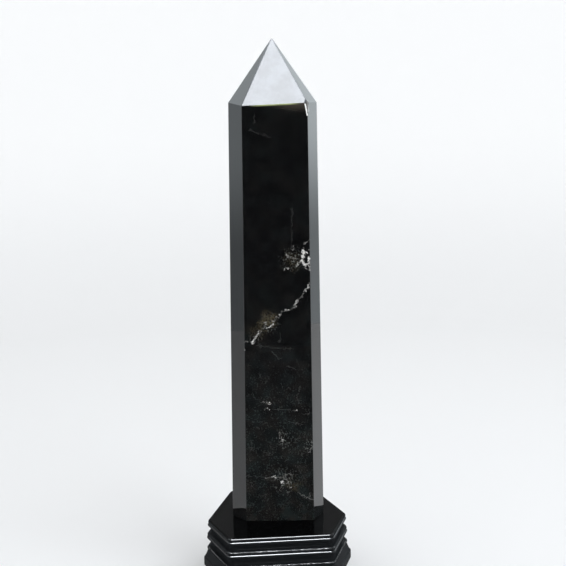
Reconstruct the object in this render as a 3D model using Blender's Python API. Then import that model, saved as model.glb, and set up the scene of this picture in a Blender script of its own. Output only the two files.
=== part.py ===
"""A black quartz tower, called morion, on a black lacquered stand.

The crystal is one polished piece: a leaning six-sided prism that narrows
towards a six-faced point, with a small corner facet on its front right
shoulder. It rests loose on the flat top of a six-sided wooden stand, whose
edge is a stack of beads and coves. Front is -Y, up is +Z, and the origin is
under the middle of the stand, on the surface that it rests on.
"""

import math

import bmesh
import bpy
from mathutils import Vector

MM = 0.001

# Crystal, measured from the middle of its foot, before it is turned.
FRONT_WIDTH = 38.0 * MM
BACK_WIDTH = 32.0 * MM
CRYSTAL_DEPTH = 34.0 * MM
LEFT_REACH = 27.2 * MM
RIGHT_REACH = 24.8 * MM
LEFT_CORNER_DEPTH = 8.5 * MM
RIGHT_CORNER_DEPTH = 12.8 * MM
BACK_SHIFT = -1.5 * MM
CRYSTAL_HEIGHT = 266.6 * MM
SHOULDER_HEIGHTS = (229.9 * MM, 231.1 * MM, 231.8 * MM, 228.0 * MM, 233.0 * MM, 232.1 * MM)
TAPER_HEIGHT = 232.0 * MM
SHOULDER_SCALE = 0.9185
TAPER_CENTRE = (5.3 * MM, 0.0)
POINT_SHIFT = -0.7 * MM
CHIP_ALONG_FRONT = 1.9 * MM
CHIP_DOWN_EDGE = 6.4 * MM
CHIP_ALONG_SIDE = 1.6 * MM

# Where the crystal stands on the stand, and how it is turned there.
CRYSTAL_PLACE = (2.7 * MM, 1.75 * MM)
CRYSTAL_TURN = math.radians(-5.05)
REST_GAP = 0.3 * MM

# Stand: the outline of its top plate, seen from above.
STAND_HEIGHT = 40.0 * MM
STAND_HALF_WIDTH = 39.8 * MM
STAND_HALF_DEPTH = 37.05 * MM
STAND_FRONT_HALF = 28.5 * MM
STAND_BACK_HALF = 25.2 * MM
SIDE_CORNER_Y = -7.85 * MM
CORNER_RADIUS = 3.0 * MM
CORNER_POINTS = 5

# Stand: the moulded edge, as depths below the top and steps outwards.
UPPER_BEAD_RADIUS = 1.2 * MM
UPPER_BEAD_INSET = 0.3 * MM
LOWER_BEAD_RADIUS = 0.9 * MM
PLATE_THICKNESS = 3.8 * MM
SECOND_PLATE_DEPTH = 7.3 * MM
SECOND_PLATE_STEP = 0.6 * MM
COVE_INSET = 0.7 * MM
COVE_BITE = 1.7 * MM
THIRD_BEAD_DEPTH = 15.4 * MM
THIRD_BEAD_RADIUS = 1.0 * MM
BODY_STEP = 2.6 * MM
BODY_TOP_DEPTH = 21.4 * MM
BODY_BOTTOM_DEPTH = 26.6 * MM
BODY_ROUNDING = 0.7 * MM
NECK_STEP = 0.2 * MM
NECK_TOP_DEPTH = 28.0 * MM
NECK_BOTTOM_DEPTH = 33.6 * MM
FOOT_TOP_DEPTH = 35.4 * MM
ARC_STEPS = 5


def clear_scene():
    """Remove every object that the file opened with."""
    for obj in list(bpy.data.objects):
        bpy.data.objects.remove(obj, do_unlink=True)


def principled(name, color, roughness):
    """Make a plain material of one colour."""
    material = bpy.data.materials.new(name)
    material.use_nodes = True
    shader = material.node_tree.nodes["Principled BSDF"]
    shader.inputs["Base Color"].default_value = (*color, 1.0)
    shader.inputs["Roughness"].default_value = roughness
    shader.inputs["Metallic"].default_value = 0.0
    return material


def finish_object(bm, name, material):
    """Turn the faces outwards and put the mesh in the scene."""
    bmesh.ops.recalc_face_normals(bm, faces=bm.faces[:])
    mesh = bpy.data.meshes.new(name)
    bm.to_mesh(mesh)
    bm.free()
    mesh.materials.append(material)
    obj = bpy.data.objects.new(name, mesh)
    bpy.context.scene.collection.objects.link(obj)
    return obj


def extrude_cap(bm, cap, spots):
    """Extrude a cap face and move its new corners to the given spots."""
    grown = bmesh.ops.extrude_face_region(bm, geom=[cap])
    new_cap = [item for item in grown["geom"] if isinstance(item, bmesh.types.BMFace)][0]
    for vert, spot in zip(new_cap.verts, spots):
        vert.co = spot
    if any(len(edge.link_faces) > 2 for edge in cap.edges):
        bmesh.ops.delete(bm, geom=[cap], context="FACES_ONLY")
    return new_cap


def crystal_plan():
    """Corners of the crystal's foot, from front left, anticlockwise seen from above."""
    front = -CRYSTAL_DEPTH / 2
    back = CRYSTAL_DEPTH / 2
    return [
        (-FRONT_WIDTH / 2, front),
        (FRONT_WIDTH / 2, front),
        (RIGHT_REACH, front + RIGHT_CORNER_DEPTH),
        (BACK_SHIFT + BACK_WIDTH / 2, back),
        (BACK_SHIFT - BACK_WIDTH / 2, back),
        (-LEFT_REACH, front + LEFT_CORNER_DEPTH),
    ]


def point_on_edge(foot, height):
    """The place at a height on the prism edge that rises from a foot corner."""
    scale = 1.0 - (1.0 - SHOULDER_SCALE) * height / TAPER_HEIGHT
    x = TAPER_CENTRE[0] + scale * (foot[0] - TAPER_CENTRE[0])
    y = TAPER_CENTRE[1] + scale * (foot[1] - TAPER_CENTRE[1])
    return Vector((x, y, height))


def cut_corner_facet(bm, corner, front_left, side_right, foot):
    """Cut the small facet where the front face, two facets and a side face meet."""
    on_front = corner + (front_left - corner).normalized() * CHIP_ALONG_FRONT
    on_side = corner + (side_right - corner).normalized() * CHIP_ALONG_SIDE
    on_edge = point_on_edge(foot, corner.z - CHIP_DOWN_EDGE)
    normal = (on_side - on_edge).cross(on_front - on_edge).normalized()
    if normal.dot(corner - on_edge) < 0.0:
        normal.negate()
    everything = bm.verts[:] + bm.edges[:] + bm.faces[:]
    cut = bmesh.ops.bisect_plane(
        bm, geom=everything, dist=1e-7, plane_co=on_edge, plane_no=normal, clear_outer=True
    )
    rim = [item for item in cut["geom_cut"] if isinstance(item, bmesh.types.BMEdge)]
    bmesh.ops.edgenet_fill(bm, edges=rim)


def build_crystal():
    """The polished tower: tapered prism, six-faced point, one corner facet."""
    plan = crystal_plan()
    bm = bmesh.new()
    foot_verts = [bm.verts.new((x, y, 0.0)) for x, y in plan]
    cap = bm.faces.new(foot_verts)
    shoulders = [point_on_edge(foot, height) for foot, height in zip(plan, SHOULDER_HEIGHTS)]
    cap = extrude_cap(bm, cap, shoulders)
    point = bmesh.ops.poke(bm, faces=[cap])["verts"][0]
    point.co = (POINT_SHIFT, 0.0, CRYSTAL_HEIGHT)
    cut_corner_facet(bm, shoulders[1], shoulders[0], shoulders[2], plan[1])
    crystal = finish_object(bm, "crystal", principled("morion_quartz", (0.010, 0.011, 0.012), 0.06))
    crystal.location = (*CRYSTAL_PLACE, STAND_HEIGHT + REST_GAP)
    crystal.rotation_euler = (0.0, 0.0, CRYSTAL_TURN)
    return crystal


def stand_corners():
    """Sharp corners of the top plate's outline, anticlockwise seen from above."""
    return [
        Vector((-STAND_FRONT_HALF, -STAND_HALF_DEPTH)),
        Vector((STAND_FRONT_HALF, -STAND_HALF_DEPTH)),
        Vector((STAND_HALF_WIDTH, SIDE_CORNER_Y)),
        Vector((STAND_BACK_HALF, STAND_HALF_DEPTH)),
        Vector((-STAND_BACK_HALF, STAND_HALF_DEPTH)),
        Vector((-STAND_HALF_WIDTH, SIDE_CORNER_Y)),
    ]


def side_angle(start, end):
    """Direction of the outward normal of the side from start to end."""
    along = end - start
    return math.atan2(-along.x, along.y)


def stand_ring(step_out, height):
    """The rounded six-sided outline, stepped outwards by a distance, at a height."""
    corners = stand_corners()
    ring = []
    for index, corner in enumerate(corners):
        before = side_angle(corners[index - 1], corner)
        after = side_angle(corner, corners[(index + 1) % len(corners)])
        turn = (after - before) % math.tau
        middle = before + turn / 2
        inset = CORNER_RADIUS / math.cos(turn / 2)
        centre = corner - inset * Vector((math.cos(middle), math.sin(middle)))
        radius = CORNER_RADIUS + step_out
        for step in range(CORNER_POINTS):
            angle = before + turn * step / (CORNER_POINTS - 1)
            spot = centre + radius * Vector((math.cos(angle), math.sin(angle)))
            ring.append(Vector((spot.x, spot.y, height)))
    return ring


def arc(out, depth, radius, start, end, steps=ARC_STEPS):
    """Points of an arc of the moulding, as (step outwards, depth below the top)."""
    points = []
    for step in range(steps + 1):
        angle = math.radians(start + (end - start) * step / steps)
        points.append((out + radius * math.cos(angle), depth - radius * math.sin(angle)))
    return points


def plate_edge(out, top):
    """The double bead on the edge of a plate, from its flat top down to its underside."""
    upper_out = out - UPPER_BEAD_INSET - UPPER_BEAD_RADIUS
    upper = arc(upper_out, top + UPPER_BEAD_RADIUS, UPPER_BEAD_RADIUS, 90, -42)
    lower_depth = top + PLATE_THICKNESS - LOWER_BEAD_RADIUS
    lower = arc(out - LOWER_BEAD_RADIUS, lower_depth, LOWER_BEAD_RADIUS, 65, -90)
    return upper + lower


def cove(out, top, bottom):
    """A hollow between two plates."""
    middle = (top + bottom) / 2
    half = (bottom - top) / 2
    points = []
    for step in range(1, ARC_STEPS):
        angle = math.pi * step / ARC_STEPS
        points.append((out - COVE_BITE * math.sin(angle), middle - half * math.cos(angle)))
    return points


def stand_profile():
    """The whole moulding from the rim of the flat top to the underside."""
    second_out = SECOND_PLATE_STEP
    plate_bottom = SECOND_PLATE_DEPTH + PLATE_THICKNESS
    bead_centre = THIRD_BEAD_DEPTH + THIRD_BEAD_RADIUS
    body_in = BODY_STEP - BODY_ROUNDING
    profile = plate_edge(0.0, 0.0)
    profile += cove(-COVE_INSET, PLATE_THICKNESS, SECOND_PLATE_DEPTH)
    profile += plate_edge(second_out, SECOND_PLATE_DEPTH)
    profile += cove(second_out - COVE_INSET - LOWER_BEAD_RADIUS / 2, plate_bottom, THIRD_BEAD_DEPTH)
    profile += arc(second_out - THIRD_BEAD_RADIUS, bead_centre, THIRD_BEAD_RADIUS, 90, -60)
    profile += arc(body_in, BODY_TOP_DEPTH + BODY_ROUNDING, BODY_ROUNDING, 90, 0, 3)
    profile += arc(body_in, BODY_BOTTOM_DEPTH - BODY_ROUNDING, BODY_ROUNDING, 0, -90, 3)
    profile += [(NECK_STEP, NECK_TOP_DEPTH), (NECK_STEP, NECK_BOTTOM_DEPTH)]
    profile += arc(body_in, FOOT_TOP_DEPTH + BODY_ROUNDING, BODY_ROUNDING, 90, 0, 3)
    profile += [(BODY_STEP, STAND_HEIGHT - BODY_ROUNDING), (body_in, STAND_HEIGHT)]
    return profile


def build_stand():
    """The lacquered stand, moulded all round from one outline."""
    profile = stand_profile()
    rings = [stand_ring(out, STAND_HEIGHT - depth) for out, depth in profile]
    rings.reverse()
    bm = bmesh.new()
    cap = bm.faces.new([bm.verts.new(spot) for spot in rings[0]])
    for ring in rings[1:]:
        cap = extrude_cap(bm, cap, ring)
    return finish_object(bm, "stand", principled("black_lacquer", (0.008, 0.008, 0.008), 0.18))


def main():
    clear_scene()
    build_stand()
    build_crystal()


main()
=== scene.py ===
# %% [markdown]
# # A black quartz point on a lacquered stand
#
# Morion is quartz that natural radiation has turned black. This one was cut and polished into
# a tower: a leaning six-sided prism with a six-faced point. It rests loose on a low wooden
# stand, lacquered black, with a beaded edge.
#
# The measured solids already exist. This lesson loads them and then makes what the eye sees:
# the fine edges, the polish, the veins in the stone, the lacquer and the light.

# %% Load the measured solids
import math
from contextlib import contextmanager

import bmesh
import bpy
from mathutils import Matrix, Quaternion, Vector


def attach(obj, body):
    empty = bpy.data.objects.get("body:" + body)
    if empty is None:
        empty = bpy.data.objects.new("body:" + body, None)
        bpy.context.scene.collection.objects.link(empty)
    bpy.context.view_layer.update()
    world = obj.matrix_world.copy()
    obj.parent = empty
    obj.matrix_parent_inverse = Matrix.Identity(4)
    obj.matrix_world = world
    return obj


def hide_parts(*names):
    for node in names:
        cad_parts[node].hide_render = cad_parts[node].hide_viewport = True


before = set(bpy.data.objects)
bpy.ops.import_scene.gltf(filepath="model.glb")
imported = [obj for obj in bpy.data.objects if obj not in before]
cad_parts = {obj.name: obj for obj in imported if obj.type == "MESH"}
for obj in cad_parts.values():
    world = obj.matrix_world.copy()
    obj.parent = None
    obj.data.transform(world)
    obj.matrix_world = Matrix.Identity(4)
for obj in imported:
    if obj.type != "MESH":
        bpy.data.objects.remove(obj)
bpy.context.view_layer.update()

MM = 0.001

# %% [markdown]
# ## The camera
#
# A photograph is matched by the camera first, because every reflection depends on where the
# eye is. The tower was seen from half a metre away, a little above its middle, so that its
# upright edges run together downwards. The place and the turn come from the corners of the
# tower and of the stand, and the lens from how fast they run together.

# %% Camera
CAMERA_PLACE = Vector((-37.5, -513.75, 248.0)) * MM
CAMERA_HEADING = 0.0845
CAMERA_DIP = 0.144
CAMERA_ROLL = 0.0153
LENS_IN_PIXELS = 932.2
PICTURE_PIXELS = 566
SENSOR = 36.0

sight = Vector((
    math.sin(CAMERA_HEADING) * math.cos(CAMERA_DIP),
    math.cos(CAMERA_HEADING) * math.cos(CAMERA_DIP),
    -math.sin(CAMERA_DIP),
))
camera_data = bpy.data.cameras.new("camera")
camera_data.sensor_width = SENSOR
camera_data.lens = SENSOR * LENS_IN_PIXELS / PICTURE_PIXELS
camera_data.clip_start = 0.01
camera = bpy.data.objects.new("camera", camera_data)
camera.rotation_mode = "QUATERNION"
camera.location = CAMERA_PLACE
camera.rotation_quaternion = sight.to_track_quat("-Z", "Y") @ Quaternion((0, 0, 1), -CAMERA_ROLL)
bpy.context.scene.collection.objects.link(camera)
bpy.context.scene.camera = camera
print("lens, mm:", round(camera_data.lens, 2))

# %% [markdown]
# ## Hand tools
#
# Blender's operators act on whatever is selected, as they do under the mouse. A few helpers
# stand in for the hand: one takes up a piece, one opens it for editing, and one picks the
# corners, edges or faces that pass a test of their place or direction.


# %% Hand tools
def take_up(piece):
    """Make one piece the only selected piece and the active one."""
    for other in list(bpy.context.selected_objects):
        other.select_set(False)
    piece.select_set(True)
    bpy.context.view_layer.objects.active = piece


@contextmanager
def editing(piece, kind="FACE"):
    """Open a piece in edit mode with one kind of selection, and close it at the end."""
    take_up(piece)
    bpy.ops.object.mode_set(mode="EDIT")
    bpy.ops.mesh.select_mode(type=kind)
    yield
    bpy.ops.object.mode_set(mode="OBJECT")


def pick(piece, kind, wanted):
    """Select the corners, edges or faces for which the test is true. Returns how many."""
    mesh = bmesh.from_edit_mesh(piece.data)
    for part in (mesh.faces, mesh.edges, mesh.verts):
        for item in part:
            item.select_set(False)
    mesh.select_flush(False)
    chosen = [item for item in getattr(mesh, kind) if wanted(item)]
    for item in chosen:
        item.select_set(True)
    bmesh.update_edit_mesh(piece.data)
    return len(chosen)


def settle(piece, smooth_degrees=40.0):
    """Turn the faces outwards, shade the rounds smooth and keep the broad faces flat."""
    with editing(piece):
        bpy.ops.mesh.select_all(action="SELECT")
        bpy.ops.mesh.normals_make_consistent(inside=False)
    bpy.ops.object.shade_smooth_by_angle(angle=math.radians(smooth_degrees))
    flatten = piece.modifiers.new("keep_broad_faces_flat", "WEIGHTED_NORMAL")
    flatten.mode = "FACE_AREA"
    flatten.weight = 100
    flatten.keep_sharp = True
    bpy.ops.object.modifier_apply(modifier=flatten.name)
    print(piece.name, "has", len(piece.data.polygons), "faces")


print("hand tools:", [tool.__name__ for tool in (take_up, editing, pick, settle)])

# %% [markdown]
# ## The crystal
#
# The polished tower is a natural crystal ground flat. Its shape is fixed by the measured
# solid, which is a mesh of loose triangles, so a copy of that mesh is taken and its corners
# are merged. Dissolving the flat areas gives back the real faces of the stone. A grinder
# never leaves a knife edge: each arris is broken by a hair, and that narrow band is what
# catches the light, so the edges get a bevel of a fifth of a millimetre.

# %% Crystal shape
ARRIS = 0.18 * MM
ARRIS_STEPS = 3
REAL_EDGE = math.radians(5)

crystal = bpy.data.objects.new("crystal_polished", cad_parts["crystal"].data.copy())
crystal.data.materials.clear()
bpy.context.scene.collection.objects.link(crystal)
with editing(crystal, "EDGE"):
    bpy.ops.mesh.select_all(action="SELECT")
    bpy.ops.mesh.remove_doubles(threshold=0.02 * MM)
    bpy.ops.mesh.dissolve_limited(angle_limit=math.radians(1.0))
    real_edges = pick(crystal, "edges", lambda edge: edge.calc_face_angle(0.0) > REAL_EDGE)
    bpy.ops.mesh.bevel(offset=ARRIS, offset_type="OFFSET", segments=ARRIS_STEPS, profile=0.5)
settle(crystal)
print("edges broken on the crystal:", real_edges)

# %% [markdown]
# ## The stand
#
# The edge of the stand is shaped by a moulding cutter: two thin plates with a double bead on
# their edge, a hollow under each, a third bead, and a stepped foot. It could be built as a
# stack of slabs, but one outline carried down the moulding keeps all the corners in line, as
# the cutter does. So one flat six-sided plate is drawn, its corners are rounded, and it is
# extruded downwards in small steps, each a little wider or narrower.

# %% Stand sizes
STAND_HEIGHT = 40.0 * MM
STAND_HALF_WIDTH = 39.8 * MM
STAND_HALF_DEPTH = 37.05 * MM
STAND_FRONT_HALF = 28.5 * MM
STAND_BACK_HALF = 25.2 * MM
SIDE_CORNER_Y = -7.85 * MM
CORNER_RADIUS = 3.0 * MM

UPPER_BEAD_RADIUS = 1.2 * MM
UPPER_BEAD_INSET = 0.3 * MM
LOWER_BEAD_RADIUS = 0.9 * MM
PLATE_THICKNESS = 3.8 * MM
SECOND_PLATE_DEPTH = 7.3 * MM
SECOND_PLATE_STEP = 0.6 * MM
COVE_INSET = 0.7 * MM
COVE_BITE = 1.7 * MM
THIRD_BEAD_DEPTH = 15.4 * MM
THIRD_BEAD_RADIUS = 1.0 * MM
BODY_STEP = 2.6 * MM
BODY_TOP_DEPTH = 21.4 * MM
BODY_BOTTOM_DEPTH = 26.6 * MM
BODY_ROUNDING = 0.7 * MM
NECK_STEP = 0.2 * MM
NECK_TOP_DEPTH = 28.0 * MM
NECK_BOTTOM_DEPTH = 33.6 * MM
FOOT_TOP_DEPTH = 35.4 * MM
ARC_STEPS = 9
BODY_ARC_STEPS = 4
CORNER_STEPS = 8
print("the stand is", round(STAND_HEIGHT / MM), "mm high")


# %% Moulding line
def arc(out, depth, radius, start, end, steps=ARC_STEPS):
    """Points of a round of the moulding, as (step outwards, depth below the top)."""
    turns = [math.radians(start + (end - start) * step / steps) for step in range(steps + 1)]
    return [(out + radius * math.cos(turn), depth - radius * math.sin(turn)) for turn in turns]


def plate_edge(out, top):
    """The double bead round a plate."""
    upper_out = out - UPPER_BEAD_INSET - UPPER_BEAD_RADIUS
    upper = arc(upper_out, top + UPPER_BEAD_RADIUS, UPPER_BEAD_RADIUS, 90, -42)
    lower_depth = top + PLATE_THICKNESS - LOWER_BEAD_RADIUS
    lower = arc(out - LOWER_BEAD_RADIUS, lower_depth, LOWER_BEAD_RADIUS, 65, -90)
    return upper + lower


def cove(out, top, bottom):
    """The hollow between two plates."""
    turns = [math.pi * step / ARC_STEPS for step in range(1, ARC_STEPS)]
    middle, half = (top + bottom) / 2, (bottom - top) / 2
    return [(out - COVE_BITE * math.sin(turn), middle - half * math.cos(turn)) for turn in turns]


def moulding():
    """The whole edge of the stand, from the rim of its top down to its underside."""
    plate_bottom = SECOND_PLATE_DEPTH + PLATE_THICKNESS
    second_cove_out = SECOND_PLATE_STEP - COVE_INSET - LOWER_BEAD_RADIUS / 2
    bead_depth = THIRD_BEAD_DEPTH + THIRD_BEAD_RADIUS
    body_in = BODY_STEP - BODY_ROUNDING
    line = plate_edge(0.0, 0.0)
    line += cove(-COVE_INSET, PLATE_THICKNESS, SECOND_PLATE_DEPTH)
    line += plate_edge(SECOND_PLATE_STEP, SECOND_PLATE_DEPTH)
    line += cove(second_cove_out, plate_bottom, THIRD_BEAD_DEPTH)
    line += arc(SECOND_PLATE_STEP - THIRD_BEAD_RADIUS, bead_depth, THIRD_BEAD_RADIUS, 90, -60)
    line += arc(body_in, BODY_TOP_DEPTH + BODY_ROUNDING, BODY_ROUNDING, 90, 0, BODY_ARC_STEPS)
    line += arc(body_in, BODY_BOTTOM_DEPTH - BODY_ROUNDING, BODY_ROUNDING, 0, -90, BODY_ARC_STEPS)
    line += [(NECK_STEP, NECK_TOP_DEPTH), (NECK_STEP, NECK_BOTTOM_DEPTH)]
    line += arc(body_in, FOOT_TOP_DEPTH + BODY_ROUNDING, BODY_ROUNDING, 90, 0, BODY_ARC_STEPS)
    line += [(BODY_STEP, STAND_HEIGHT - BODY_ROUNDING), (body_in, STAND_HEIGHT)]
    return line


moulding_line = moulding()
print("steps in the moulding:", len(moulding_line))

# %% Flat plate with the stand's corners
SAME_SPOT = 0.01 * MM
top_corners = [
    Vector((STAND_FRONT_HALF, -STAND_HALF_DEPTH)),
    Vector((STAND_HALF_WIDTH, SIDE_CORNER_Y)),
    Vector((STAND_BACK_HALF, STAND_HALF_DEPTH)),
    Vector((-STAND_BACK_HALF, STAND_HALF_DEPTH)),
    Vector((-STAND_HALF_WIDTH, SIDE_CORNER_Y)),
    Vector((-STAND_FRONT_HALF, -STAND_HALF_DEPTH)),
]
bpy.ops.mesh.primitive_circle_add(
    vertices=len(top_corners), radius=STAND_HALF_WIDTH, fill_type="NGON",
    location=(0, 0, STAND_HEIGHT), rotation=(0, 0, math.radians(30)),
)
stand = bpy.context.object
stand.name = "stand_lacquered"
take_up(stand)
bpy.ops.object.transform_apply(location=True, rotation=True, scale=True)
with editing(stand, "VERT"):
    for corner in top_corners:
        mesh = bmesh.from_edit_mesh(stand.data)
        direction = corner.normalized()
        nearest = max(mesh.verts, key=lambda vert: vert.co.xy.normalized().dot(direction)).co.copy()
        pick(stand, "verts", lambda vert: (vert.co - nearest).length < SAME_SPOT)
        bpy.ops.transform.translate(value=(corner.x - nearest.x, corner.y - nearest.y, 0))
corners_made = [[round(side / MM, 1) for side in vert.co.xy] for vert in stand.data.vertices]
print("corners of the stand, mm:", corners_made)

# %% Rounded corners
with editing(stand, "VERT"):
    bpy.ops.mesh.select_all(action="SELECT")
    for index, corner in enumerate(top_corners):
        before = (top_corners[index - 1] - corner).normalized()
        after = (top_corners[(index + 1) % len(top_corners)] - corner).normalized()
        half_turn = before.angle(after) / 2
        reach = CORNER_RADIUS / math.tan(half_turn)
        pick(stand, "verts", lambda vert: (vert.co.xy - corner).length < SAME_SPOT)
        bpy.ops.mesh.bevel(offset=reach, offset_type="OFFSET", segments=CORNER_STEPS, affect="VERTICES")
print("points round the plate:", len(stand.data.vertices))

# %% Plate extruded down the moulding
with editing(stand, "FACE"):
    bpy.ops.mesh.select_all(action="SELECT")
    last_out, last_depth = moulding_line[0][0], 0.0
    wide, deep = STAND_HALF_WIDTH, STAND_HALF_DEPTH
    bpy.ops.transform.resize(
        value=((wide + last_out) / wide, (deep + last_out) / deep, 1),
        center_override=(0, 0, STAND_HEIGHT),
    )
    for out, depth in moulding_line[1:]:
        step_down = (0, 0, last_depth - depth)
        bpy.ops.mesh.extrude_region_move(TRANSFORM_OT_translate={"value": step_down})
        bpy.ops.transform.resize(
            value=((wide + out) / (wide + last_out), (deep + out) / (deep + last_out), 1),
            center_override=(0, 0, STAND_HEIGHT - depth),
        )
        last_out, last_depth = out, depth
settle(stand)

# %% [markdown]
# ## Writing shaders as sums
#
# A finish is a network of small nodes. Drawn by hand it soon becomes a web, so here each
# socket is wrapped in a small class that knows how to be added, subtracted, multiplied and
# divided. An expression such as `1 - mask` then adds the nodes that work it out.


# %% Shader helpers
class Finish:
    """A material and the one method that adds a node to it."""

    def __init__(self, name):
        self.material = bpy.data.materials.new(name)
        self.material.use_nodes = True
        self.tree = self.material.node_tree
        self.tree.nodes.clear()

    def add(self, kind, settings=None, sockets=None, output=0):
        """Add a node, set it up, fill its sockets, and return one of its outputs."""
        node = self.tree.nodes.new(kind)
        for key, value in (settings or {}).items():
            setattr(node, key, value)
        for key, value in (sockets or {}).items():
            if isinstance(value, Signal):
                self.tree.links.new(value.socket, node.inputs[key])
            else:
                node.inputs[key].default_value = value
        return Signal(self, node.outputs[output]) if node.outputs else node


class Signal:
    """A shader socket that takes part in sums."""

    def __init__(self, finish, socket):
        self.finish = finish
        self.socket = socket

    def sum_node(self, operation, *values):
        """A Math node on the values, which are signals or numbers."""
        numbered = dict(enumerate(values))
        return self.finish.add("ShaderNodeMath", {"operation": operation}, numbered)

    def __add__(self, other):
        return self.sum_node("ADD", self, other)

    def __radd__(self, other):
        return self.sum_node("ADD", other, self)

    def __sub__(self, other):
        return self.sum_node("SUBTRACT", self, other)

    def __rsub__(self, other):
        return self.sum_node("SUBTRACT", other, self)

    def __mul__(self, other):
        return self.sum_node("MULTIPLY", self, other)

    def __rmul__(self, other):
        return self.sum_node("MULTIPLY", other, self)

    def __truediv__(self, other):
        return self.sum_node("DIVIDE", self, other)

    def size(self):
        """The value without its sign."""
        return self.sum_node("ABSOLUTE", self)

    def or_more(self, other):
        """The greater of this and another."""
        return self.sum_node("MAXIMUM", self, other)

    def or_less(self, other):
        """The smaller of this and another."""
        return self.sum_node("MINIMUM", self, other)


print("shader helpers:", Finish.__name__, "and", Signal.__name__)


# %% [markdown]
# ## Where the marks are in the stone
#
# Healed cracks run through the front of the stone and show as white threads. They could be
# modelled as thin meshes, but in the real stone they lie flush under the polish, so they are
# drawn by the material. Every mark is placed in the crystal's own frame, in millimetres from
# the middle of its foot: across the front face, and up.

# %% Threads in the stone
CRYSTAL_PLACE = Vector((2.7, 1.75, 40.3)) * MM
CRYSTAL_TURN = math.radians(-5.05)

BOLD_THREADS = [
    [(15.0, 152.6), (14.4, 149.5), (14.3, 147.2), (15.6, 144.8), (17.4, 145.6)],
    [(17.9, 149.2), (17.7, 146.0)],
    [(15.0, 152.6), (15.8, 151.4)],
    [(2.0, 22.3), (1.4, 22.6)],
]
CLEAR_THREADS = [
    [(17.6, 145.6), (18.5, 141.3)],
    [(14.2, 147.0), (12.2, 146.1), (11.4, 144.2), (10.8, 145.0)],
    [(15.7, 144.6), (16.4, 142.6)],
    [(18.0, 153.2), (18.0, 153.0)],
    [(17.5, 134.6), (17.0, 132.4), (15.2, 130.2)],
    [(11.2, 125.4), (10.2, 123.4), (10.0, 122.6)],
    [(7.0, 120.4), (4.6, 119.9)],
    [(1.6, 117.6), (1.2, 116.8)],
    [(-2.4, 112.4), (-4.2, 110.6), (-5.6, 110.6)],
    [(-9.6, 108.6), (-12.0, 105.0), (-13.4, 103.0), (-14.2, 101.8)],
    [(-13.0, 102.4), (-13.0, 101.6)],
    [(2.4, 47.6), (1.8, 46.8)],
    [(5.8, 19.8), (5.6, 19.4)],
    [(-4.2, 25.7), (-2.4, 25.5)],
    [(4.6, 142.8), (6.4, 143.2)],
    [(5.2, 151.2), (6.4, 149.6)],
    [(-5.4, 68.2), (-4.8, 68.1)],
    [(-5.8, 65.0), (-5.4, 64.9)],
    [(9.4, 64.0), (9.7, 63.6)],
]
FINE_THREADS = [
    [(15.2, 156.2), (16.4, 157.4), (18.2, 158.0)],
    [(5.2, 151.2), (6.7, 149.4), (8.4, 148.8), (10.6, 148.2)],
    [(4.6, 147.6), (6.7, 149.4)],
    [(9.0, 153.0), (9.6, 155.0)],
    [(15.2, 130.2), (13.8, 127.6), (11.2, 125.4)],
    [(10.0, 122.6), (8.8, 121.2), (7.0, 120.4)],
    [(4.6, 119.9), (2.8, 118.8), (1.3, 117.2), (-0.2, 116.0), (-1.2, 114.0), (-2.8, 114.4)],
    [(-2.8, 114.4), (-2.4, 112.4)],
    [(-5.6, 110.6), (-6.8, 111.4), (-5.8, 113.0), (-8.4, 113.4)],
    [(-6.8, 111.4), (-9.6, 108.6)],
    [(-18.4, 102.9), (-16.4, 102.9)],
    [(-18.8, 99.0), (-18.4, 98.4)],
    [(0.2, 51.3), (0.9, 47.8), (2.4, 47.4), (1.6, 46.2), (0.2, 46.6)],
    [(-8.2, 25.4), (1.0, 25.5), (5.0, 27.3), (8.2, 27.0)],
    [(1.0, 25.5), (3.4, 25.0), (5.0, 21.4), (5.9, 19.5)],
    [(10.2, 16.2), (13.8, 14.0), (18.9, 12.2)],
    [(17.0, 16.0), (16.6, 13.4)],
    [(4.0, 17.6), (4.7, 15.8)],
    [(17.0, 45.3), (18.7, 44.8), (18.3, 42.6), (16.4, 40.0)],
    [(-9.2, 68.6), (-6.4, 68.2)],
    [(-7.3, 65.3), (-7.1, 65.1)],
    [(9.2, 63.9), (9.5, 63.6)],
]
FAINT_THREADS = [
    [(-13.4, 217.5), (-2.0, 213.0)],
    [(-10.2, 225.6), (-10.5, 221.0)],
    [(9.0, 176.0), (8.5, 154.5)],
    [(-12.0, 100.6), (-4.0, 99.4), (7.5, 98.6)],
    [(-3.4, 64.8), (9.4, 63.7)],
    [(14.0, 61.5), (17.4, 61.6)],
    [(5.6, 89.4), (9.4, 87.0)],
    [(-10.4, 86.0), (-9.0, 82.6)],
    [(0.6, 79.0), (3.0, 76.6)],
    [(7.8, 46.6), (12.4, 48.2)],
    [(-19.0, 26.6), (-8.0, 25.6)],
    [(-14.4, 41.4), (-14.0, 41.0)],
    [(1.4, 37.2), (3.2, 37.0)],
    [(1.5, 107.0), (1.8, 103.4), (0.6, 102.6)],
    [(-3.0, 96.8), (-1.0, 95.0), (0.6, 92.6), (2.0, 93.8)],
    [(5.4, 76.4), (7.2, 75.6)],
    [(-14.4, 74.0), (-12.6, 70.7)],
    [(11.8, 77.5), (10.6, 72.0), (11.4, 68.0)],
    [(5.0, 57.6), (9.8, 56.4), (13.8, 55.6)],
    [(-12.0, 54.2), (-10.6, 53.4)],
    [(-15.6, 47.6), (-15.0, 43.0), (-15.8, 40.6)],
    [(-8.6, 40.4), (-6.0, 38.2), (-4.2, 39.4)],
    [(-16.0, 21.4), (-15.0, 20.2)],
    [(-12.0, 15.4), (-9.0, 14.4), (-7.6, 15.6)],
]
CHIP = [(16.7, 230.4), (17.7, 224.6)]
GLINT_HAZE = [(17.9, 232.0), (18.3, 227.0)]
drawn = [BOLD_THREADS, CLEAR_THREADS, FINE_THREADS, FAINT_THREADS]
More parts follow.
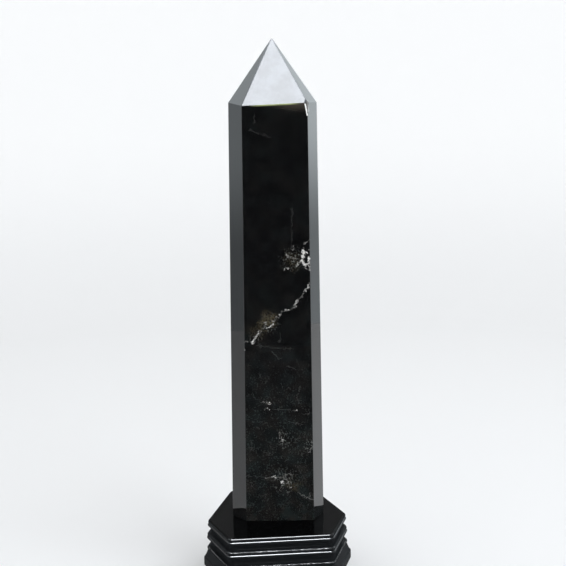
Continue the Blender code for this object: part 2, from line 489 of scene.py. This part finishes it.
print("threads drawn:", [len(threads) for threads in drawn])

# %% [markdown]
# ## The polished stone
#
# Morion is so dark that almost no light comes back out of it: what shows is the mirror of its
# polish, with the index of quartz, 1.54. Under the polish lie the threads. Below the front facet
# the stone's own smoky brown is painted as light shining through it, and in the facet a milky
# cloud is partly haze and partly a painted reflection of the softbox. Each is a mask, which is 1
# where the mark is and 0 elsewhere, made from the distance to the mark and broken up by
# noise. The masks then steer the colour and the roughness.

# %% Mask helpers
stone = Finish("polished_morion")


def vector_node(operation, first, second, output=0):
    """A Vector Math node on two vectors."""
    settings = {"operation": operation}
    return stone.add("ShaderNodeVectorMath", settings, {0: first, 1: second}, output)


def scaled(finish, vector, scale):
    """A vector made longer or shorter."""
    sockets = {0: vector, "Scale": scale}
    return finish.add("ShaderNodeVectorMath", {"operation": "SCALE"}, sockets)


def spread(value, low, high):
    """0 at low, 1 at high and beyond, and smooth between. High may be the smaller number."""
    settings = {"interpolation_type": "SMOOTHSTEP"}
    sockets = {"Value": value, "From Min": low, "From Max": high}
    return value.finish.add("ShaderNodeMapRange", settings, sockets)


def noise(finish, place, scale, detail=3.0, output="Fac"):
    """A cloudy pattern, with scale in waves per unit of the place."""
    sockets = {"Vector": place, "Scale": scale, "Detail": detail}
    return finish.add("ShaderNodeTexNoise", sockets=sockets, output=output)


def blend(finish, mask, first, second):
    """One colour where the mask is 0 and another where it is 1."""
    sockets = {"Factor": mask, 6: first, 7: second}
    return finish.add("ShaderNodeMix", {"data_type": "RGBA"}, sockets, 2)


print("mask helpers ready for", stone.material.name)

# %% Place in the stone
FLAT = (1.0, 0.0, 1.0)
WOBBLE = 4.2
FRONT_DEPTH = -17.0
FRONT_LEAN = 0.00597

place = stone.add("ShaderNodeMapping", {"vector_type": "TEXTURE"}, {
    "Vector": stone.add("ShaderNodeTexCoord", output="Object"),
    "Location": CRYSTAL_PLACE,
    "Rotation": (0, 0, CRYSTAL_TURN),
    "Scale": (MM, MM, MM),
})
across = stone.add("ShaderNodeSeparateXYZ", sockets={"Vector": place}, output="X")
place_parts = across.socket.node.outputs
depth = Signal(stone, place_parts["Y"])
height = Signal(stone, place_parts["Z"])
flat_place = vector_node("MULTIPLY", place, FLAT)
wobble = vector_node("SUBTRACT", noise(stone, place, 0.75, 4.0, "Color"), (0.5, 0.5, 0.5))
wobble = vector_node("MULTIPLY", scaled(stone, wobble, WOBBLE), FLAT)
crooked = vector_node("ADD", flat_place, wobble)
on_front = spread(depth - height * FRONT_LEAN, FRONT_DEPTH + 0.8, FRONT_DEPTH + 0.3)
print("nodes that find the place:", len(stone.tree.nodes))


# %% Thread masks
def distance_to(place, threads):
    """Distance in millimetres from the nearest of several threads."""
    nearest = None
    for thread in threads:
        for (x0, z0), (x1, z1) in zip(thread, thread[1:]):
            start, along = Vector((x0, 0, z0)), Vector((x1 - x0, 0, z1 - z0))
            from_start = vector_node("SUBTRACT", place, start)
            share = vector_node("DOT_PRODUCT", from_start, along / along.length_squared, "Value")
            share = stone.add("ShaderNodeClamp", sockets={"Value": share})
            along_it = scaled(stone, tuple(along), share)
            distance = vector_node("DISTANCE", from_start, along_it, "Value")
            nearest = distance if nearest is None else nearest.or_less(distance)
    return nearest


def line_mask(threads, uneven, outer, inner):
    """1 along the threads and 0 away from them, with an edge that an uneven signal moves."""
    return spread(distance_to(crooked, threads) + uneven, outer, inner)


grain = noise(stone, place, 1.6, 4.0)
speckle = spread(noise(stone, place, 2.3, 5.0), 0.40, 0.60)
swell = noise(stone, place, 0.55, 3.0)
uneven = grain + swell - 1.0
broken = spread(swell, 0.40, 0.54) * 0.65 + 0.35
bold = line_mask(BOLD_THREADS, uneven * 2.4, 0.80, 0.30)
clear = line_mask(CLEAR_THREADS, uneven * 1.8, 0.46, 0.06) * broken
fine = line_mask(FINE_THREADS, uneven * 1.6, 0.42, 0.0) * broken
faint = line_mask(FAINT_THREADS, (grain - 0.5) * 1.2, 0.45, 0.0)
threads = bold * (speckle * 0.45 + 0.45)
threads = threads.or_more(clear * (speckle * 0.75 + 0.25))
threads = threads.or_more(fine * (speckle * 0.32 + 0.02))
threads = threads.or_more(faint * (speckle * 0.026 + 0.009)) * on_front
print("nodes with the threads:", len(stone.tree.nodes))

# %% [markdown]
# Round the threads the stone is broken up by finer flecks, which thin out away from them and
# upwards. Where there are no threads at all the same flecks stay very faint, on every side.
# The picture doesn't show the back, so its threads are not placed one by one: they run where
# a slow noise crosses its middle value, which gives the same kind of wandering line.

# %% Flecks and mottling
FLECK_CENTRES = [
    ((9.0, 148.0), 9.0),
    ((-4.0, 113.0), 8.0),
    ((-12.0, 105.0), 5.0),
    ((3.0, 47.0), 7.0),
    ((3.0, 23.0), 10.0),
    ((17.0, 43.0), 5.0),
]
near_threads = None
for (x, z), reach in FLECK_CENTRES:
    gap = vector_node("DISTANCE", flat_place, (x, 0.0, z), "Value")
    near = spread(gap, reach, reach * 0.2)
    near_threads = near if near_threads is None else near_threads.or_more(near)
lower_half = spread(height, 150.0, 20.0)
painted_foot_light = spread(height, 16.0, 3.0)
rear = spread(depth, 3.0, 8.0)
flecks = spread(noise(stone, place, 1.1, 5.0), 0.54, 0.72)
flecks = flecks * (near_threads * 0.22 + lower_half * 0.030 + 0.008) * (on_front * 0.8 + 0.2)
clouds = spread(noise(stone, place, 0.16, 5.0), 0.35, 0.70)
# The mottling is stronger in the lower half, and the foot band is painted lighter still: painted light
# at the stone's foot.
mottle = clouds * (lower_half * 0.22 + 0.12) + lower_half * 0.16 + painted_foot_light * 0.14
mottle = mottle * (on_front * 0.7 + rear * 0.7 + 0.3)
print("patches of flecks:", len(FLECK_CENTRES))

# %% Threads at the back
level = noise(stone, place, 0.040, 6.0) - 0.5
rear_line = spread(level.size(), 0.008, 0.001)
rear_patch = spread(noise(stone, place, 0.028, 2.0), 0.48, 0.60)
rear_threads = rear_line * rear_patch * broken * (speckle * 0.35 + 0.05) * rear
threads = threads.or_more(rear_threads)
print("nodes with the rear threads:", len(stone.tree.nodes))

# %% Brown clouds
BROWN_CLOUDS = [
    ((-5.0, 115.0), 7.5, 0.50),
    ((-11.0, 108.0), 7.0, 0.18),
    ((9.0, 147.0), 8.0, 0.16),
    ((7.6, 21.0), 6.0, 0.28),
]
ragged = (noise(stone, place, 0.25, 4.0) - 0.5) * 12.0
brown = 0.0
for (x, z), reach, strength in BROWN_CLOUDS:
    gap = vector_node("DISTANCE", flat_place, (x, 0.0, z), "Value") + ragged
    brown = brown + spread(gap, reach, 0.0) * strength
brown = brown * spread(grain, 0.40, 0.62) * on_front
print("brown clouds:", len(BROWN_CLOUDS))

# %% Painted light through the stone, green rim and front facet
SHOULDER_LEFT, SHOULDER_RIGHT, SHOULDER_HALF = 229.9, 231.1, 17.5
FACET_DEPTH = -15.6
FACET_START = 231.0
FACET_LEAN = 0.44

shoulder = across * ((SHOULDER_RIGHT - SHOULDER_LEFT) / (2 * SHOULDER_HALF))
shoulder = shoulder + (SHOULDER_LEFT + SHOULDER_RIGHT) / 2
below = shoulder - height
# Below the facet the stone's own smoky brown is painted as light shining through it.
light_through_depth = spread(across, -6.0, 14.0) * 3.5 + 2.4
light_through_veil = spread(below / light_through_depth, 1.0, -0.1) * spread(across, -8.0, 12.0) * (grain * 0.8 + 0.45)
green_rim = spread(below, 0.85, 0.25) * spread(across, -14.0, -6.0) * spread(across, 15.0, 8.0)
above_shoulder = spread(below, 0.1, -0.3)
facet_depth = depth - (height - FACET_START) * FACET_LEAN
on_front_facet = above_shoulder * spread(facet_depth, FACET_DEPTH + 0.7, FACET_DEPTH + 0.3)
front_only = on_front * (1 - above_shoulder)
print("nodes in the masks:", len(stone.tree.nodes))

# %% Milk and painted reflection in the facet, and chip with a painted glint
# The milky cloud in the facet is partly haze and partly a painted reflection of the softbox.
facet_cloud_and_reflection = spread(noise(stone, place, 0.10, 4.0), 0.30, 0.70)
milk_and_painted_reflection = on_front_facet * (facet_cloud_and_reflection * 0.09 + 0.04)
# The chip is a real break. Its white is partly a painted glint where it catches the softbox, with a
# faint painted haze beside it.
chip_and_painted_glint = spread(distance_to(flat_place, [CHIP]) + (grain - 0.5) * 0.6, 0.42, 0.20)
chip_and_painted_glint = chip_and_painted_glint.or_more(spread(distance_to(flat_place, [GLINT_HAZE]), 0.8, 0.3) * 0.18)
chip_and_painted_glint = chip_and_painted_glint * spread(depth, -13.0, -13.6)
print("the chip is", round((Vector(CHIP[0]) - Vector(CHIP[1])).length, 1), "mm long")

# %% [markdown]
# The colours lie over one another like glazes. The stone starts black, each mask lets one
# colour through, and the last one in the list lies on top. The roughness is made in the same
# way: very smooth, and a little rougher where the stone is scratched, threaded or cloudy.

# %% Colours of the stone
SMOKE_BLACK = (0.0036, 0.0037, 0.0040, 1.0)
BROWN_SMOKE = (0.031, 0.030, 0.027, 1.0)
GREEN_SMOKE = (0.025, 0.032, 0.031, 1.0)
LIGHT_THROUGH_BROWN = (0.060, 0.050, 0.040, 1.0)
RUST_BROWN = (0.16, 0.13, 0.075, 1.0)
FLECK_GREY = (0.55, 0.58, 0.55, 1.0)
RIM_GREEN = (0.30, 0.34, 0.15, 1.0)
THREAD_WHITE = (0.92, 0.90, 0.86, 1.0)
MILK_AND_REFLECTION_BLUE = (0.72, 0.80, 0.92, 1.0)
CHIP_AND_GLINT_WHITE = (0.88, 0.88, 0.86, 1.0)

hue = spread(noise(stone, place, 0.12, 2.0), 0.42, 0.58)
base = blend(stone, mottle, SMOKE_BLACK, blend(stone, hue, BROWN_SMOKE, GREEN_SMOKE))
glazes = [
    (light_through_veil * front_only, LIGHT_THROUGH_BROWN),
    (brown, RUST_BROWN),
    (flecks, FLECK_GREY),
    (green_rim * front_only, RIM_GREEN),
    (threads, THREAD_WHITE),
    (milk_and_painted_reflection, MILK_AND_REFLECTION_BLUE),
    (chip_and_painted_glint, CHIP_AND_GLINT_WHITE),
]
for mask, color in glazes:
    base = blend(stone, mask, base, color)
print("colours over the black:", len(glazes))

# %% Surface of the stone
QUARTZ_INDEX = 1.54
SMOOTHEST = 0.035
scratch_place = vector_node("MULTIPLY", place, (4.0, 4.0, 0.15))
scratch = spread(noise(stone, scratch_place, 1.0, 2.0), 0.55, 0.85)
polish = scratch * 0.03 + threads * 0.30 + on_front_facet * 0.06 + SMOOTHEST
stone_bump = stone.add("ShaderNodeBump", sockets={
    "Strength": 0.04,
    "Distance": 0.05 * MM,
    "Height": noise(stone, place, 0.35, 2.0) + threads * 0.4,
})
stone_surface = stone.add("ShaderNodeBsdfPrincipled", sockets={
    "Base Color": base,
    "Roughness": polish,
    "IOR": QUARTZ_INDEX,
    "Normal": stone_bump,
})
stone.add("ShaderNodeOutputMaterial", sockets={"Surface": stone_surface})
crystal.data.materials.append(stone.material)
print("nodes in the stone's finish:", len(stone.tree.nodes))

# %% [markdown]
# ## The lacquer
#
# The stand is wood under several coats of black lacquer. Its flats are rubbed almost dull,
# while the crests of the beads are bright. One shader with a changing roughness would smear
# the highlights, so a rubbed and a bright lacquer are made and mixed by a mask that follows
# the depth below the top. Some beads waver a little, which breaks their highlight into dots.

# %% Gloss of the lacquer
FLAT_GLOSS = 0.11
UPPER_GLOSS = 0.65
LOWER_GLOSS = 0.70
SECOND_PLATE = SECOND_PLATE_DEPTH / MM
UPPER_CREST = 0.42
LOWER_CREST = 2.30
THIRD_CREST = THIRD_BEAD_DEPTH / MM + 0.35
FIRST_HOLLOW = 5.45
SECOND_HOLLOW = 13.2

lacquer = Finish("black_lacquer_rubbed")
lacquer_place = scaled(lacquer, lacquer.add("ShaderNodeTexCoord", output="Object"), 1 / MM)
stand_up = lacquer.add("ShaderNodeSeparateXYZ", sockets={"Vector": lacquer_place}, output="Z")
stand_back = Signal(lacquer, stand_up.socket.node.outputs["Y"])
below_top = STAND_HEIGHT / MM - stand_up
towards_front = spread(stand_back, -34.3, -35.2)


def crest(depth_below, half, core=0.4):
    """1 on the crest of a bead at a depth below the top, and 0 away from it."""
    return spread((below_top - depth_below).size(), half, half * core)


dots = spread(noise(lacquer, lacquer_place, 0.8, 2.0), 0.42, 0.56) * 0.8 + 0.2
upper_crests = crest(UPPER_CREST, 0.40) + crest(SECOND_PLATE + UPPER_CREST, 0.40) * dots
upper_crests = upper_crests * (towards_front * 0.85 + 0.15)
lower_crests = crest(LOWER_CREST, 0.32) + crest(SECOND_PLATE + LOWER_CREST, 0.32)
lower_crests = lower_crests * (towards_front * 0.2 + 0.8)
third_crest = crest(THIRD_CREST, 0.36) * dots
hollows = crest(FIRST_HOLLOW, 1.9, 0.85) + crest(SECOND_HOLLOW, 2.2, 0.85)
gloss = upper_crests * UPPER_GLOSS + (lower_crests + third_crest) * LOWER_GLOSS
gloss = gloss.or_more(FLAT_GLOSS * (1 - hollows * 0.8))
print("nodes in the gloss mask:", len(lacquer.tree.nodes))

# %% Surface of the lacquer
TOP_BLACK_PAINTED_SHADE = (0.0008, 0.0008, 0.0008, 1.0)
TOP_GRAIN_PAINTED_SHADE = (0.0028, 0.0029, 0.0031, 1.0)
SIDE_BLACK_PAINTED_LIGHTER = (0.0090, 0.0100, 0.0115, 1.0)
SIDE_GRAIN_PAINTED_LIGHTER = (0.0150, 0.0165, 0.0180, 1.0)
RUBBED_ROUGHNESS = 0.5
BRIGHT_ROUGHNESS = 0.09
LACQUER_INDEX = 1.5

lacquer_grain = noise(lacquer, lacquer_place, 1.3, 5.0)
waver = noise(lacquer, lacquer_place, 1.1, 2.0)
wavering = crest(SECOND_PLATE + 0.6, 0.9) * 4.0 + third_crest * 4.0 + 0.1
lacquer_bump = lacquer.add("ShaderNodeBump", sockets={
    "Strength": 0.6,
    "Distance": 0.10 * MM,
    "Height": waver * wavering + lacquer_grain * 0.05,
})
# The top is painted far darker than the sides and hollows, which are painted lighter: painted shade on
# the top, where it mirrors the black stone.
top_color_painted_shade = blend(lacquer, lacquer_grain, TOP_BLACK_PAINTED_SHADE, TOP_GRAIN_PAINTED_SHADE)
side_color_painted_lighter = blend(lacquer, lacquer_grain, SIDE_BLACK_PAINTED_LIGHTER, SIDE_GRAIN_PAINTED_LIGHTER)
lacquer_grain_and_painted_shade = blend(lacquer, spread(below_top, 0.2, 1.0), top_color_painted_shade, side_color_painted_lighter)
rubbed = lacquer.add("ShaderNodeBsdfPrincipled", sockets={
    "Base Color": lacquer_grain_and_painted_shade,
    "Roughness": RUBBED_ROUGHNESS,
    "Specular IOR Level": 0.0,
    "Normal": lacquer_bump,
})
bright = lacquer.add("ShaderNodeBsdfPrincipled", sockets={
    "Base Color": lacquer_grain_and_painted_shade,
    "Roughness": BRIGHT_ROUGHNESS,
    "IOR": LACQUER_INDEX,
    "Normal": lacquer_bump,
})
lacquer_surface = lacquer.add("ShaderNodeMixShader", sockets={0: gloss, 1: rubbed, 2: bright})
lacquer.add("ShaderNodeOutputMaterial", sockets={"Surface": lacquer_surface})
stand.data.materials.append(lacquer.material)
print("nodes in the lacquer's finish:", len(lacquer.tree.nodes))

# %% [markdown]
# ## The room of light
#
# Black polish shows nothing but its surroundings, so the surroundings are made with care: a
# round white sweep, whose floor curves up into a wall all round; a black mat and card in
# front, which keep the front face black; glowing reflectors left and right, for the side
# faces; and two more above, for the side facets of the point. Only reflections see the mat,
# the card and the reflectors. They could be left out and the faces painted grey instead, but
# then the stone would look the same from every side, as no polished stone does.


# %% Stage finish
def stage_finish(name, color, tint=(1.0, 1.0, 1.0), glow=(0.0, 0.0), rise=(0.0, 1.0)):
    """A matt finish whose glow changes from one strength to another as it rises."""
    finish = Finish(name)
    place = finish.add("ShaderNodeTexCoord", output="Object")
    up = finish.add("ShaderNodeSeparateXYZ", sockets={"Vector": place}, output="Z")
    strongest = max(*glow, 0.001)
    low, high = [(*(part * level / strongest for part in tint), 1.0) for level in glow]
    surface = finish.add("ShaderNodeBsdfPrincipled", sockets={
        "Base Color": (*color, 1.0),
        "Roughness": 0.9,
        "Specular IOR Level": 0.0,
        "Emission Color": blend(finish, spread(up, *rise), low, high),
        "Emission Strength": strongest,
    })
    finish.add("ShaderNodeOutputMaterial", sockets={"Surface": surface})
    return finish.material


SWEEP_COLOR = (0.80, 0.802, 0.803)
# The sweep glows faintly at the floor and more up its wall: painted light, so the wall looks brighter
# higher up.
sweep_white = stage_finish("sweep_white", SWEEP_COLOR, glow=(0.06, 0.19), rise=(0.0, 0.28))
print("finish of the sweep:", sweep_white.name)

# %% Sweep
SWEEP_RADIUS = 1.05
SWEEP_CURVE = 0.25
SWEEP_HEIGHT = 0.85
SWEEP_STEPS = 10
SWEEP_POINTS = 96

floor_radius = SWEEP_RADIUS - SWEEP_CURVE
bpy.ops.mesh.primitive_circle_add(vertices=SWEEP_POINTS, radius=floor_radius, fill_type="NGON")
sweep = bpy.context.object
sweep.name = "sweep"
with editing(sweep, "EDGE"):
    radius, rise = floor_radius, 0.0
    pick(sweep, "edges", lambda edge: True)
    for step in range(1, SWEEP_STEPS + 1):
        turn = math.radians(90 * step / SWEEP_STEPS)
        new_radius = floor_radius + SWEEP_CURVE * math.sin(turn)
        new_rise = SWEEP_CURVE * (1 - math.cos(turn))
        bpy.ops.mesh.extrude_edges_move(TRANSFORM_OT_translate={"value": (0, 0, new_rise - rise)})
        bpy.ops.transform.resize(
            value=(new_radius / radius, new_radius / radius, 1), center_override=(0, 0, 0))
        radius, rise = new_radius, new_rise
    bpy.ops.mesh.extrude_edges_move(TRANSFORM_OT_translate={"value": (0, 0, SWEEP_HEIGHT - rise)})
    bpy.ops.mesh.select_all(action="SELECT")
    bpy.ops.mesh.normals_make_consistent(inside=True)
take_up(sweep)
bpy.ops.object.shade_smooth()
sweep.data.materials.append(sweep_white)
print("faces of the sweep:", len(sweep.data.polygons))


# %% Panels
def panel(name, centre, size, facing, material):
    """A panel that looks along a direction and that only reflections see."""
    bpy.ops.mesh.primitive_plane_add(size=1.0)
    made = bpy.context.object
    made.name = name
    made.scale = (*size, 1.0)
    made.rotation_mode = "QUATERNION"
    made.rotation_quaternion = facing.to_track_quat("Z", "Y")
    made.location = centre
    take_up(made)
    bpy.ops.object.transform_apply(location=True, rotation=True, scale=True)
    made.data.materials.append(material)
    made.visible_camera = False
    made.visible_diffuse = False
    made.visible_shadow = False
    return made


UP = Vector((0, 0, 1))
FORWARD = Vector((0, 1, 0))
LEFT = Vector((-0.985, 0.175, 0))
RIGHT = Vector((0.790, 0.613, 0))
UPPER_LEFT = Vector((-0.668, 0.255, 0.699))
UPPER_RIGHT = Vector((0.561, 0.714, 0.420))
POINT = Vector((0.002, -0.006, 0.283))
SIDE_DISTANCE = 0.78
TOP_DISTANCE = 0.90
LEFT_HEIGHT = 0.40
RIGHT_HEIGHT = 0.23
left_place = LEFT * SIDE_DISTANCE + UP * LEFT_HEIGHT
right_place = RIGHT * SIDE_DISTANCE + UP * RIGHT_HEIGHT
left_top_place = UPPER_LEFT * TOP_DISTANCE + POINT
right_top_place = UPPER_RIGHT * TOP_DISTANCE + POINT
print("left reflector stands at, m:", [round(part, 2) for part in left_place])

# %% Cards and reflectors
BLACK = (0.004, 0.004, 0.004)
COOL = (0.88, 0.96, 1.0)
black_card = stage_finish("card_black", BLACK)
left_glow = stage_finish("left_glow", BLACK, COOL, glow=(0.72, 1.65), rise=(0.11, 0.26))
right_glow = stage_finish("right_glow", BLACK, COOL, glow=(0.90, 2.60), rise=(0.13, 0.30))
left_top_glow = stage_finish("left_top_glow", BLACK, COOL, glow=(3.3, 3.3))
right_top_glow = stage_finish("right_top_glow", BLACK, COOL, glow=(2.4, 2.4))
panels = [
    panel("front_mat", Vector((-0.05, -0.38, 0.001)), (0.46, 0.66), UP, black_card),
    panel("front_card", Vector((-0.05, -0.71, 0.25)), (0.46, 0.5), FORWARD, black_card),
    panel("left_reflector", left_place, (0.5, 0.78), -LEFT, left_glow),
    panel("right_reflector", right_place, (0.4, 0.44), -RIGHT, right_glow),
    panel("left_top_reflector", left_top_place, (0.5, 0.4), -UPPER_LEFT, left_top_glow),
    panel("right_top_reflector", right_top_place, (0.6, 0.4), -UPPER_RIGHT, right_top_glow),
]
print("panels:", [made.name for made in panels])

# %% [markdown]
# ## The softbox and the other lamps
#
# The front facet is white because a softbox is mirrored in it. To find where the softbox
# stands, the line of sight is mirrored in the facet: whatever stands that way shows there. The
# softbox is seen in mirrors only, so that it doesn't burn out the floor. A narrow strip high
# above draws the bright lines along the beads. It shines on the stand alone, because it would
# whiten the edges of the stone. A weak fill lights matt things only. One lamp can't do all of
# this, because each part needs its own place and strength.

# %% Where the softbox stands
facet = max(
    (face for face in crystal.data.polygons if face.normal.y < -0.85 and face.normal.z > 0.2),
    key=lambda face: face.area,
)
line_of_sight = (facet.center - CAMERA_PLACE).normalized()
mirrored = line_of_sight.reflect(facet.normal)
print("softbox elevation, degrees:", round(math.degrees(math.asin(mirrored.z)), 1))

# %% Lamps
LAMP_COLOR = (0.91, 0.95, 1.0)
LAMP_DISTANCE = 0.95
SOFTBOX_SIZE = (0.5, 0.5)
SOFTBOX_POWER = 11.7
STRIP_SIZE = (1.0, 0.2)
STRIP_ELEVATION = math.radians(74)
STRIP_POWER = 55.0
FILL_POWER = 3.0
FRONT_EDGE = Vector((0, -0.037, 0.035))
TOWER_MIDDLE = Vector((0, 0, 0.15))


def area_light(name, target, way, size, power, mirrored_only):
    """A soft lamp that stands off from a target, seen in mirrors only or by matt things only."""
    lamp_data = bpy.data.lights.new(name, "AREA")
    lamp_data.shape = "RECTANGLE"
    lamp_data.size, lamp_data.size_y = size
    lamp_data.energy = power
    lamp_data.color = LAMP_COLOR
    lamp = bpy.data.objects.new(name, lamp_data)
    lamp.location = target + way * LAMP_DISTANCE
    lamp.rotation_mode = "QUATERNION"
    lamp.rotation_quaternion = (-way).to_track_quat("-Z", "Y")
    lamp.visible_camera = False
    lamp.visible_diffuse = not mirrored_only
    lamp.visible_glossy = mirrored_only
    bpy.context.scene.collection.objects.link(lamp)
    return lamp


strip_way = Vector((-0.08, -math.cos(STRIP_ELEVATION), math.sin(STRIP_ELEVATION))).normalized()
fill_way = Vector((0.45, -0.45, 0.77)).normalized()
softbox = area_light("softbox", facet.center, mirrored, SOFTBOX_SIZE, SOFTBOX_POWER, True)
strip = area_light("strip", FRONT_EDGE, strip_way, STRIP_SIZE, STRIP_POWER, True)
fill = area_light("fill", TOWER_MIDDLE, fill_way, SOFTBOX_SIZE, FILL_POWER, False)
lit_by_strip = bpy.data.collections.new("lit_by_strip")
lit_by_strip.objects.link(stand)
strip.light_linking.receiver_collection = lit_by_strip
print("lamps:", [lamp.name for lamp in (softbox, strip, fill)])

# %% Sky
SKY_COLOR = (0.97, 0.985, 1.0, 1.0)
SKY_STRENGTH = 0.92
world = bpy.data.worlds.new("sky_of_light")
world.use_nodes = True
background = world.node_tree.nodes["Background"]
background.inputs["Color"].default_value = SKY_COLOR
background.inputs["Strength"].default_value = SKY_STRENGTH
bpy.context.scene.world = world
bpy.context.scene.view_settings.view_transform = "Standard"
print("sky strength:", SKY_STRENGTH)

# %% [markdown]
# ## Handing over
#
# Each finished piece rides on the one body of the model and stands for its measured solid.

# %% Pieces to bodies
for piece, node, slot in ((crystal, "crystal", "morion_quartz"), (stand, "stand", "black_lacquer")):
    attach(piece, "root")
    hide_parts(node)
    print(piece.name, "stands for the measured", node)
